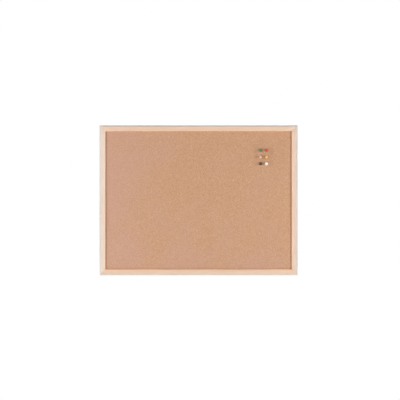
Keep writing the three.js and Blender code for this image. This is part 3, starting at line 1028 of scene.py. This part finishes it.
@dataclass
class CorkPanel:
    """The panel in the groove: cork on soft board, with kraft paper on its back."""

    step: float = 1.65 * MM  # distance between the points of the cork's face
    grain_relief: float = 0.055 * MM  # how far the lowest of the sanded granules lie below the face
    grain_spread: Pair = (0.5, 0.22)  # mean and deviation of how deep they lie, as a share of that
    pit_over: float = 0.975  # a random draw from 0 to 1 that is higher than this makes a pit
    pit_depth: float = 1.6  # how much deeper a pit lies, as a share of grain_relief
    hidden_margin: float = 6.5 * MM  # width of the edge that lies in the groove and stays flat
    hole_width: float = 1.16 * MM  # width of a needle's hole
    sharp: float = 50.0  # edges of the cork that turn by more than this many degrees stay sharp
    cockle: float = 0.09 * MM  # how far the paper bulges off the board
    waves: tuple[tuple[float, float, float], ...] = (  # rate, bend and bend's rate of the paper's waves
        (31.0, 2.0, 17.0), (43.0, 1.4, 23.0))
    paper_step: float = 5.0 * MM  # distance between the points of the paper
    seed: int = 20  # start of the random draws

    def grid(self, node: str, step: float) -> tuple[np.ndarray, np.ndarray, np.ndarray]:
        """Lay a grid over a sheet.

        Args:
            node: The sheet's CAD node.
            step: The wanted distance between points.

        Returns:
            The grid's x and z, and how free each point is of the groove, from 0 to 1.
        """
        low, high = box_of(node)
        columns, rows_down = (int(round((high[axis] - low[axis]) / step)) + 1 for axis in (0, 2))
        x, z = np.meshgrid(np.linspace(low[0], high[0], columns), np.linspace(low[2], high[2], rows_down))
        edge = np.minimum(high[0] - np.abs(x), high[2] - np.abs(z))
        return x, z, np.clip((edge - self.hidden_margin) / step, 0.0, 1.0)

    @staticmethod
    def slab(x: np.ndarray, shown: np.ndarray, z: np.ndarray, hidden: float) -> Shell:
        """Close a sheet that has one modelled side and one flat side.

        Args:
            x: Grid of x.
            shown: Grid of y of the modelled side.
            z: Grid of z.
            hidden: y of the flat side.

        Returns:
            The sheet.
        """
        ids = np.arange(x.size).reshape(x.shape)
        quads = rows(ids[:-1, :-1], ids[:-1, 1:], ids[1:, 1:], ids[1:, :-1]).reshape(-1, 4)
        border = np.concatenate([ids[0, :-1], ids[:-1, -1], ids[-1, :0:-1], ids[:0:-1, 0]])
        points = rows(x, shown, z).reshape(-1, 3)
        behind = points[border] * (1.0, 0.0, 1.0) + (0.0, hidden, 0.0)
        under = len(points) + np.arange(len(border))
        sides = rows(border, under, np.roll(under, -1), np.roll(border, -1))
        points, quads = np.concatenate([points, behind]), np.concatenate([quads, sides])
        return Shell(points, quads, [under[::-1]]).facing_out()

    def granules(self, shape: tuple[int, int]) -> np.ndarray:
        """Draw at random how deep each point of the sanded face lies: a granule each, and a few pits.

        Args:
            shape: Points down and across.

        Returns:
            The depths, from 0 to 1 for a granule.
        """
        random = np.random.default_rng(self.seed)
        fine = random.normal(*self.grain_spread, shape)
        pits = np.where(random.random(shape) > self.pit_over, self.pit_depth, 0.0)
        return np.clip(fine, 0.0, 1.0) + pits

    def build(self, pins: Sequence["PushPin"]) -> None:
        """Make the cork with a hole for each pin, dress the core, and make the paper.

        The paper bulges by cockle * (1 + s) / 2, where s is the product of two bent waves.

        Args:
            pins: The push pins.
        """
        low, high = box_of("cork_sheet")
        x, z, free = self.grid("cork_sheet", self.step)
        face = low[1] + self.granules(x.shape) * self.grain_relief * free
        fit(self.slab(x, face, z, high[1]), "cork_face", CORK, "cork_sheet",
            cutters=[pin.hole(self.hole_width) for pin in pins], sharp=self.sharp)
        FIBREBOARD.dress(frame["nodes"]["fibreboard_core"])
        log.info("fibreboard_core: as in the CAD model, %s", FIBREBOARD.label)
        low, high = box_of("backing_sheet")
        x, z, free = self.grid("backing_sheet", self.paper_step)
        swell = wave(x, z, *self.waves[0]) * wave(z, x, *self.waves[1])
        bulge = high[1] + self.cockle * (0.5 + 0.5 * swell) * free
        fit(self.slab(x, bulge, z, low[1]), "kraft_backing", KRAFT, "backing_sheet")


class PinColour(Enum):
    """The push pins' colours, each with the deeper tone of its flow marks, as they look on screen."""

    GREEN = ((78, 122, 68), (62, 104, 56))
    RED = ((204, 84, 62), (188, 68, 48))
    PINK = ((228, 182, 154), (220, 170, 140))
    YELLOW = ((230, 187, 102), (220, 173, 84))
    BLACK = ((70, 55, 45), (56, 43, 36))
    WHITE = ((250, 244, 235), (242, 235, 225))


@dataclass
class PushPin:
    """A push pin: a moulded, waisted head on a steel needle. Heights are measured from the cork."""

    colour: PinColour
    flange_rim: float = 0.8 * MM  # radius of the flange's rim
    foot_land: float = 0.4 * MM  # how far in from the rim's centre the flange's under side gets a point
    root: Pair = (0.2 * MM, 0.05 * MM)  # how far in, and how high over the flange, the waist's curve starts
    root_pull: float = 0.2 * MM  # how high over the flange that curve is pulled
    waist: Pair = (2.6 * MM, 4.2 * MM)  # its radius, and the height where its curve ends
    neck: Pair = (2.95 * MM, 8.6 * MM)  # its radius, and the height where it ends
    neck_lead: float = 0.1 * MM  # how far over the neck the knob's curve starts
    knob: Pair = (4.1 * MM, 10.0 * MM)  # its radius, and the height where it starts
    knob_rim: float = 1.0 * MM  # radius of the knob's rim
    rims: tuple[Pair, Pair] = ((-90.0, 80.0), (-85.0, 90.0))  # ends in degrees of flange's and knob's arc
    crown: Pair = (0.2 * MM, 0.28 * MM)  # how far in from the rim, and below the top, the crown starts
    gate: tuple[Pair, ...] = (  # the mark where the plastic was let in: radii, and depths below the top
        (0.7 * MM, 0.05 * MM), (0.6 * MM, 0.16 * MM), (0.4 * MM, 0.18 * MM), (0.02 * MM, 0.16 * MM))
    seat: float = 6.2 * MM  # depth of the needle's seat in the head
    seat_play: float = 0.03 * MM  # room between the needle and the seat
    seat_ease: float = 0.25 * MM  # chamfer of the seat's mouth
    seam: float = 0.035 * MM  # height of the seam that the two halves of the mould leave
    seam_spread: float = 0.05  # its half width, as the sine of the angle
    seam_from: Pair = (2.0 * MM, 0.3 * MM)  # the radius and the height from which it shows
    needle_point: float = 1.8 * MM  # length of the needle's ground point
    ogive: float = 1.6  # power of the curve that the point is ground to
    needle_end: Pair = (0.3 * MM, 0.2 * MM)  # how far short of the seat's floor its shoulder and its end lie
    needle_ease: float = 0.1 * MM  # how far its end is drawn in
    hole_over: float = 1.0 * MM  # how far over the cork the cutter of its hole runs
    pole: float = 0.02 * MM  # radius of the small cap on the axis
    segments: tuple[int, int, int] = (72, 24, 16)  # facets round the head, the needle and its hole
    round_steps: int = 14  # chords of a rim or of the waist
    slow_steps: int = 8  # chords of the neck's and the crown's curves
    ogive_steps: int = 9  # chords of the ground point

    def __post_init__(self) -> None:
        """Find where the pin stands on the cork, its size and its plastic."""
        self.name = self.colour.name.lower()
        low, high = box_of(f"pin_head_{self.name}")
        needle_low, needle_high = box_of(f"pin_needle_{self.name}")
        self.x, self.z = (low + high)[[0, 2]] / 2.0
        self.face = high[1]
        self.height = high[1] - low[1]
        self.flange = (high[2] - low[2]) / 2.0
        self.needle_radius = (needle_high[2] - needle_low[2]) / 2.0
        self.reach = needle_high[1] - high[1]
        tone, deep = (srgb(*shown) for shown in self.colour.value)
        self.plastic = Plastic(f"{self.name}_plastic", f"plastic_{self.name}", colour=tone, deep=deep)

    def standing(self, shell: Shell) -> Shell:
        """Stand a shell that was turned round y on the cork, its y pointing out of the board."""
        return shell.placed((self.x, self.face, self.z), ((1.0, 0.0, 0.0), (0.0, -1.0, 0.0), (0.0, 0.0, 1.0)))

    def head_profile(self) -> np.ndarray:
        """Draw the head: needle seat, flange, waist, flared neck, knob and gate mark.

        Returns:
            Radius and height of each point.
        """
        bore = self.needle_radius + self.seat_play
        rim, over = self.flange - self.flange_rim, 2.0 * self.flange_rim
        (waist, waist_top), (neck, neck_top), (knob, knob_foot) = self.waist, self.neck, self.knob
        (root_in, root_lift), (crown_in, crown_drop) = self.root, self.crown
        knob_edge = knob - self.knob_rim
        gate = np.array(self.gate) * (1.0, -1.0) + (0.0, self.height)
        return np.concatenate([
            [(self.pole, self.seat), (bore, self.seat), (bore, self.seat_ease), (bore + self.seat_ease, 0.0)],
            [(rim - self.foot_land, 0.0)],
            arc((rim, self.flange_rim), self.flange_rim, *self.rims[0], self.round_steps),
            pulled((rim - root_in, over + root_lift), (waist, over + self.root_pull), (waist, waist_top),
                   self.round_steps),
            [(neck, neck_top)],
            pulled((neck, neck_top + self.neck_lead), (neck, knob_foot), (knob_edge, knob_foot),
                   self.slow_steps),
            arc((knob_edge, knob_foot + self.knob_rim), self.knob_rim, *self.rims[1], self.round_steps),
            pulled((knob_edge - crown_in, self.height - crown_drop), (knob / 2.0, self.height), gate[0],
                   self.slow_steps),
            gate[1:],
        ])

    def head(self) -> Shell:
        """Turn the head, with the fine raised seam that the two halves of the mould leave on its sides.

        The seam adds seam * exp(-(s / w)^2) to the radius, where s is the sine of the angle from the mould's
        plane and w the seam's half width.

        Returns:
            The head.
        """
        profile = self.head_profile()
        segments = self.segments[0]
        from_seam = np.abs(np.sin(np.linspace(0.0, TURN, segments, endpoint=False)))
        outside = (profile > self.seam_from).all(axis=1)
        ripple = outside[:, None] * self.seam * np.exp(-((from_seam / self.seam_spread) ** 2))
        return self.standing(turned(profile, segments, ripple))

    def needle(self) -> Shell:
        """Turn the needle: a drawn wire whose ground point follows r * (1 - s^ogive), with s from 1 to 0.

        Returns:
            The needle.
        """
        radius = self.needle_radius
        left = np.linspace(1.0, 0.0, self.ogive_steps + 1)
        point = rows(radius * (1.0 - left**self.ogive) + self.pole * left,
                     -self.reach + self.needle_point * (1.0 - left))
        shoulder, end = (self.seat - below for below in self.needle_end)
        blunt = [(radius, shoulder), (radius - self.needle_ease, end), (self.pole, end)]
        return self.standing(turned(np.concatenate([point, blunt]), self.segments[1]))

    def hole(self, width: float) -> Shell:
        """Return what the needle pushes aside in the cork, run out past its face."""
        ends = np.array([(width / 2.0, -self.reach), (width / 2.0, self.hole_over)])
        return self.standing(turned(ends, self.segments[2]))

    def build(self) -> None:
        """Make the head and the needle and let them ride on the pin's body."""
        for part, shell, finish in (("head", self.head(), self.plastic), ("needle", self.needle(), BRIGHT)):
            fit(shell, f"{self.name}_pin_{part}", finish, f"pin_{part}_{self.name}", f"pin_{self.name}")


class Side(Enum):
    """The two sides of the board, as it is read, that have a hanger."""

    LEFT = "left"
    RIGHT = "right"


@dataclass
class WallHanger:
    """A strap hanger: a steel strip folded round a wire ring and held by one screw."""

    side: Side
    strip: float = 0.8 * MM  # thickness of the strip
    width: float = 8.0 * MM  # its width
    edge: float = 0.18 * MM  # radius of its edges
    layer_gap: float = 0.2 * MM  # room between its two layers
    closing: float = 50.0  # how far past half a turn the loop closes, in degrees
    bend: float = 1.2 * MM  # radius of the bend where the slope under the loop meets the first layer
    wire: float = 1.0 * MM  # radius of the ring's wire
    wire_play: float = 0.25 * MM  # room between the wire and the loop
    ring_half: float = 6.0 * MM  # half the ring's width over the middle of its wire
    corner: float = 2.0 * MM  # radius of the ring's two corners
    drop: float = 10.2 * MM  # from the straight bar to the bottom of the ring, over the middle of the wire
    end_gap: float = 0.4 * MM  # room between the ends of the wire
    rest_gap: float = 0.1 * MM  # room between the ring at rest and the strap
    shank: float = 1.45 * MM  # radius of the screw over its thread
    thread: float = 0.32 * MM  # depth of the thread
    thread_form: Pair = (2.2, 1.2)  # steepness of its flanks, and how much of their foot is cut off
    pitch: float = 1.1 * MM  # from one turn of the thread to the next
    point: float = 2.6 * MM  # length of the screw's point
    hole_play: float = 0.3 * MM  # room between the screw and the strap
    head_round: float = 1.1 * MM  # radius of the head's crown
    head_from: float = 8.0  # where the crown's arc starts, in degrees
    head_ease: float = 0.15 * MM  # how far the head's under side is eased
    recess_reach: float = 1.65 * MM  # half the length of the cross recess
    recess_width: float = 0.75 * MM  # width of its slots
    recess_depth: float = 1.3 * MM  # its depth
    recess_scale: Pair = (1.1, 0.62)  # size of the recess over the head and at its floor
    overrun: float = 1.0 * MM  # how far the drill runs out of the strap
    pole: float = 0.02 * MM  # radius of the small cap on the axis
    sharp: float = 40.0  # edges of strap and screw that turn by more than this many degrees stay sharp
    foot_points: int = 14  # points of the strap's foot
    straight_points: int = 8  # points of a straight stretch of the strap or of half the ring's bar
    strap_steps: tuple[int, int, int] = (40, 8, 3)  # chords of the strap's loop, bend and edge
    ring_steps: tuple[int, int, int] = (14, 72, 24)  # chords of its corner, its half circle and its wire
    screw_steps: tuple[int, int, int] = (12, 40, 139)  # chords of its crown, round it and down its shank

    def __post_init__(self) -> None:
        """Find the loop's centre from the ring's hinge, and the strap's and the screw's places."""
        self.name = self.side.value
        hinge = next(joint for joint in frame["joints"] if joint["child"] == f"ring_{self.name}")
        self.centre = np.array(hinge["pos_m"])
        strap_low, _ = box_of(f"hanger_strap_{self.name}")
        screw_low, screw_high = box_of(f"hanger_screw_{self.name}")
        self.foot = strap_low[2] - self.centre[2]
        screw_z = (screw_low[2] + screw_high[2]) / 2.0 - self.centre[2]
        self.screw_axis = (self.centre[0], 0.0, self.centre[2] + screw_z)
        self.screw_head = (screw_high[2] - screw_low[2]) / 2.0
        self.screw_tip, self.screw_top = screw_low[1], screw_high[1]
        self.loop = self.wire + self.wire_play + self.strip / 2.0
        self.seat = 2.0 * self.strip + self.layer_gap

    def strap_path(self) -> np.ndarray:
        """Draw the middle line of the folded strip, from foot to foot.

        It runs up the wood, round the loop, down the slope that closes the loop and along the first layer.
        Towards each foot the points lie closer, at heights (1 - cos a) * half the width.

        Returns:
            The points' y and z, with z = 0 at the loop's centre.
        """
        front, rear = self.strip / 2.0, self.seat - self.strip / 2.0
        angle = np.linspace(0.0, math.pi / 2.0, self.foot_points)
        foot = self.foot + self.width / 2.0 * (1.0 - np.cos(angle))
        loop_steps, bend_steps, _ = self.strap_steps
        over = arc((self.centre[1], 0.0), self.loop, 180.0, -self.closing, loop_steps)
        slope = math.radians(self.closing)
        joint_z = over[-1, 1] - (over[-1, 0] - rear) / math.tan(slope)
        low = joint_z - self.bend * math.tan((math.pi / 2.0 - slope) / 2.0)
        return np.concatenate([
            rows(front, foot),
            rows(front, np.linspace(foot[-1], 0.0, self.straight_points)[1:-1]),
            over,
            arc((rear + self.bend, low), self.bend, 90.0 + self.closing, 180.0, bend_steps),
            rows(rear, np.linspace(low, foot[-1], self.straight_points)[1:-1]),
            rows(rear, foot[::-1]),
        ])

    def strap(self) -> Shell:
        """Carry the strip's rounded section along its path.

        Near each foot the half width follows a circle, sqrt(R^2 - (R - d)^2) at a distance d from the end.

        Returns:
            The strap.
        """
        path = self.strap_path()
        radius = self.width / 2.0
        from_end = np.clip(path[:, 1] - self.foot, 0.0, radius)
        half = np.sqrt(np.maximum(radius**2 - (radius - from_end) ** 2, (2.0 * self.edge) ** 2))
        section = rounded_rectangle(half, self.strip / 2.0, self.edge, self.strap_steps[2])
        return swept(rows(self.centre[0], path[:, 0], path[:, 1] + self.centre[2]), section, (1.0, 0.0, 0.0))

    def ring_path(self) -> np.ndarray:
        """Draw the wire's middle line: a D that hangs from its straight bar, which is at the origin.

        Returns:
            The points' x and z.
        """
        bend = self.ring_half - self.corner
        straight = np.linspace(self.end_gap / 2.0, bend, self.straight_points)[:-1]
        corner_steps, bow_steps, _ = self.ring_steps
        return np.concatenate([
            rows(straight, 0.0),
            arc((bend, -self.corner), self.corner, 90.0, 0.0, corner_steps),
            arc((0.0, self.ring_half - self.drop), self.ring_half, 0.0, -180.0, bow_steps),
            arc((-bend, -self.corner), self.corner, 180.0, 90.0, corner_steps),
            rows(-straight[::-1], 0.0),
        ])

    def ring(self) -> Shell:
        """Carry a circle along the wire's line and lean the ring on the edges of the strap.

        The lean is the angle at which the wire clears the strap where it crosses the strap's edges.

        Returns:
            The ring at rest.
        """
        path = self.ring_path()
        circle = arc((0.0, 0.0), self.wire, 0.0, 360.0, self.ring_steps[2])[:-1]
        at_edge = self.drop - self.ring_half + math.sqrt(self.ring_half**2 - (self.width / 2.0) ** 2)
        lean = math.asin((self.seat + self.wire + self.rest_gap - self.centre[1]) / at_edge)
        cosine, sine = math.cos(lean), math.sin(lean)
        return swept(rows(path[:, 0], 0.0, path[:, 1]), circle, (0.0, 1.0, 0.0)).placed(
            self.centre, ((1.0, 0.0, 0.0), (0.0, cosine, sine), (0.0, -sine, cosine)))

    def screw(self) -> Shell:
        """Turn the pan-head screw with its thread.

        The thread adds depth * clip(flank * w - foot) to the shank's radius, where w is the triangle wave of
        y / pitch - angle / turn, and fades out towards the tip and the head.

        Returns:
            The screw in its place.
        """
        core, tip_end = self.shank - self.thread, self.screw_tip + self.point
        thread_end = self.seat - self.strip
        head, crown = self.screw_head, self.screw_top - self.head_round
        crown_steps, segments, shank_steps = self.screw_steps
        shank = np.linspace(self.screw_tip, thread_end, shank_steps + 1)
        profile = np.concatenate([
            rows(np.interp(shank, [self.screw_tip, tip_end], [self.pole, core]), shank),
            [(core, self.seat - self.strip / 2.0), (core, self.seat), (head - self.head_ease, self.seat)],
            [(head, self.seat + self.head_ease), (head, crown)],
            arc((head - self.head_round, crown), self.head_round, self.head_from, 90.0, crown_steps),
            [(self.recess_reach, self.screw_top), (self.pole, self.screw_top)],
        ])
        height = profile[:, 1:]
        turns = np.linspace(0.0, 1.0, segments, endpoint=False)
        triangle = np.abs(2.0 * ((height / self.pitch - turns) % 1.0) - 1.0)
        fade = np.interp(height, [self.screw_tip, tip_end, thread_end - self.strip / 2.0, thread_end],
                         [0.0, 1.0, 1.0, 0.0])
        flank, foot = self.thread_form
        ripple = self.thread * np.clip(triangle * flank - foot, 0.0, 1.0) * fade
        return turned(profile, segments, ripple).placed(self.screw_axis)

    def recess(self) -> Shell:
        """Make the tool of the cross recess: one tapered cross, wide over the head and narrow at its floor.

        Returns:
            The tool in its place.
        """
        wide, slim = self.recess_reach, self.recess_width / 2.0
        heights = (self.screw_top + self.overrun / 2.0, self.screw_top - self.recess_depth)
        rings = []
        for scale, y in zip(self.recess_scale, heights):
            arm = np.array([(wide * scale, slim), (slim, slim), (slim, wide * scale)])
            quarters = ((1, 1, 1), (-1, 1, -1), (-1, -1, 1), (1, -1, -1))
            cross = np.concatenate([(arm * (x, z))[::order] for x, z, order in quarters])
            rings.append(rows(cross[:, 0], y, cross[:, 1]))
        return loft(np.array(rings)).placed(self.screw_axis)

    def build(self) -> None:
        """Make the strap with its screw hole, the ring and the screw."""
        hole = self.shank + self.hole_play
        ends = np.array([(hole, -self.overrun), (hole, self.seat + self.overrun)])
        drill = turned(ends, self.screw_steps[1]).placed(self.screw_axis)
        fit(self.strap(), f"strap_{self.name}", ZINC, f"hanger_strap_{self.name}", cutters=[drill],
            sharp=self.sharp)
        fit(self.ring(), f"ring_{self.name}", ZINC, f"hanger_ring_{self.name}", f"ring_{self.name}")
        fit(self.screw(), f"screw_{self.name}", ZINC, f"hanger_screw_{self.name}",
            cutters=[self.recess()], sharp=self.sharp)


# Camera, light and floor

@dataclass(frozen=True)
class Framing:
    """Where the board lies in the photograph, in pixels from its top left corner."""

    side: int = 400
    left: float = 99.62
    right: float = 297.53
    top: float = 125.32
    bottom: float = 275.22


@dataclass(frozen=True)
class Lamp:
    """An area lamp aimed at the board's middle."""

    name: str
    azimuth: float  # angle from the board's normal, towards +X, in degrees
    elevation: float  # angle above the horizon, in degrees
    share: float  # the brightness that it gives a white surface that faces it
    size: Pair  # its width and height
    distance: float  # how far it is from the board's middle

    def hang(self) -> None:
        """Add the lamp.

        Its power P is chosen so that a surface square to the lamp's light gets the irradiance share * pi,
        which an area lamp gives at P / (pi * distance^2).
        """
        data = bpy.data.lights.new(self.name, "AREA")
        data.shape = "RECTANGLE"
        data.size, data.size_y = self.size
        data.energy = self.share * (math.pi * self.distance) ** 2
        turn, rise = math.radians(self.azimuth), math.radians(self.elevation)
        towards = (math.sin(turn) * math.cos(rise), -math.cos(turn) * math.cos(rise), math.sin(rise))
        made = add_object(self.name, data)
        made.location = [self.distance * part for part in towards]
        made.rotation_euler = (math.pi / 2.0 - rise, 0.0, turn)


@dataclass
class Studio:
    """A long lens square to the board, soft even light from both sides and a pale floor."""

    framing: Framing = Framing()
    lens: float = 100.0  # focal length in millimetres
    sensor: float = 36.0  # width of the sensor in millimetres
    clip: Pair = (0.05, 50.0)  # nearest and farthest distance that the camera sees
    ambient: float = 0.135  # strength of the light from all round
    side_share: float = 0.354  # what each side lamp adds to a surface that faces the reader
    side_angle: float = 53.0  # direction of the side lamps, in degrees from the board's normal
    side_size: Pair = (0.25, 1.6)  # their width and height
    side_distance: float = 2.2  # how far they are from the board's middle
    lamps: tuple[Lamp, ...] = (  # the other lamps
        Lamp("lamp_front", 0.0, -5.0, 0.038, (1.6, 0.9), 4.2),
        Lamp("lamp_above", 0.0, 65.0, 0.057, (1.6, 1.6), 2.6),
        Lamp("lamp_behind", 180.0, 35.0, 0.85, (1.4, 1.4), 2.2),
    )
    floor_tone: Colour = srgb(246, 246, 246)  # the floor's own colour
    floor_drop: float = 0.9  # how far below the board's middle the floor lies
    floor_half: float = 4.0  # half the floor's width and depth
    floor_near: float = 0.5  # out to this distance the floor's own colour and white have equal shares
    floor_far: float = 1.5  # from this distance on it is as white as the background

    def camera(self) -> None:
        """Place the camera so that the board lies where it does in the photograph.

        The outline that it sees is that of the frame's sides where their front edge begins to round.
        """
        low, high = box_of("frame_top_rail")
        seen = self.framing
        scale = (high[0] - low[0]) / (seen.right - seen.left)
        distance = scale * seen.side * self.lens / self.sensor
        data = bpy.data.cameras.new("camera")
        data.lens, data.sensor_width = self.lens, self.sensor
        data.clip_start, data.clip_end = self.clip
        made = add_object("camera", data)
        made.location = (
            (seen.side / 2.0 - (seen.left + seen.right) / 2.0) * scale,
            low[1] + TimberFrame.front_round - distance,
            ((seen.top + seen.bottom) / 2.0 - seen.side / 2.0) * scale,
        )
        made.rotation_euler = (math.pi / 2.0, 0.0, 0.0)
        bpy.context.scene.camera = made

    @staticmethod
    def white_rays(wiring: Wiring) -> Link:
        """Return 1 for the rays that see the background: from the camera, off gloss and through glass."""
        path = wiring.node("LightPath").outputs
        return wiring.math("MAXIMUM", wiring.math("MAXIMUM", path["Is Camera Ray"], path["Is Glossy Ray"]),
                           path["Is Transmission Ray"])

    @staticmethod
    def mixed(wiring: Wiring, factor: Link, first: Link, second: Link) -> Link:
        """Mix two shaders and return the result."""
        return wiring.node("MixShader", {0: factor, 1: first, 2: second}).outputs[0]

    def world(self) -> None:
        """Light the scene evenly from all round, over a background that is plain white."""
        made = bpy.data.worlds.new("studio")
        wiring, surface = Wiring.surface_of(made, "OutputWorld")
        soft, white = (wiring.node("Background", {"Color": WHITE, "Strength": strength}).outputs[0]
                       for strength in (self.ambient, 1.0))
        wiring.feed(surface, self.mixed(wiring, self.white_rays(wiring), soft, white))
        bpy.context.scene.world = made

    def floor(self) -> None:
        """Add a pale floor that keeps the board's shadow and fades into the white background round it.

        From below it is clear, so that the board can be seen from there too.
        """
        half = self.floor_half
        corners = [(-half, -half), (half, -half), (half, half), (-half, half)]
        mesh = bpy.data.meshes.new("floor")
        mesh.from_pydata([(x, y, -self.floor_drop) for x, y in corners], [], [(0, 1, 2, 3)])
        material = bpy.data.materials.new("pale_floor")
        wiring, surface = Wiring.surface_of(material, "OutputMaterial")
        matt = wiring.node("BsdfDiffuse", {"Color": self.floor_tone}).outputs[0]
        glow = wiring.node("Emission", {"Color": WHITE, "Strength": 1.0}).outputs[0]
        clear = wiring.node("BsdfTransparent").outputs[0]
        flat = wiring.vector("MULTIPLY", wiring.node("TexCoord").outputs["Object"], (1.0, 1.0, 0.0))
        fade = wiring.spread(wiring.vector("LENGTH", flat), self.floor_near, self.floor_far, 0.5, 1.0)
        shown = self.mixed(wiring, wiring.math("MULTIPLY", self.white_rays(wiring), fade), matt, glow)
        below = wiring.node("NewGeometry").outputs["Backfacing"]
        wiring.feed(surface, self.mixed(wiring, below, shown, clear))
        mesh.materials.append(material)
        made = add_object("floor", mesh)

    def build(self) -> None:
        """Set up the camera, the lamps, the world and the floor."""
        self.camera()
        share = self.side_share / math.cos(math.radians(self.side_angle))
        sides = [Lamp(name, sign * self.side_angle, 0.0, share, self.side_size, self.side_distance)
                 for name, sign in (("lamp_left", -1.0), ("lamp_right", 1.0))]
        for lamp in (*sides, *self.lamps):
            lamp.hang()
        self.world()
        self.floor()
        bpy.context.scene.view_settings.view_transform = "Standard"


def main() -> None:
    """Build the board's sub-assemblies in order, then the studio round them."""
    logging.basicConfig(level=logging.INFO, format="%(name)s: %(message)s")
    nails = [CornerNail(node) for node in sorted(frame["nodes"]) if node.startswith("v_nail_")]
    pins = [PushPin(colour) for colour in PinColour]
    TimberFrame().build(nails)
    for nail in nails:
        nail.build()
    CorkPanel().build(pins)
    for pin in pins:
        pin.build()
    for side in Side:
        WallHanger(side).build()
    Studio().build()


if __name__ == "__main__":
    main()
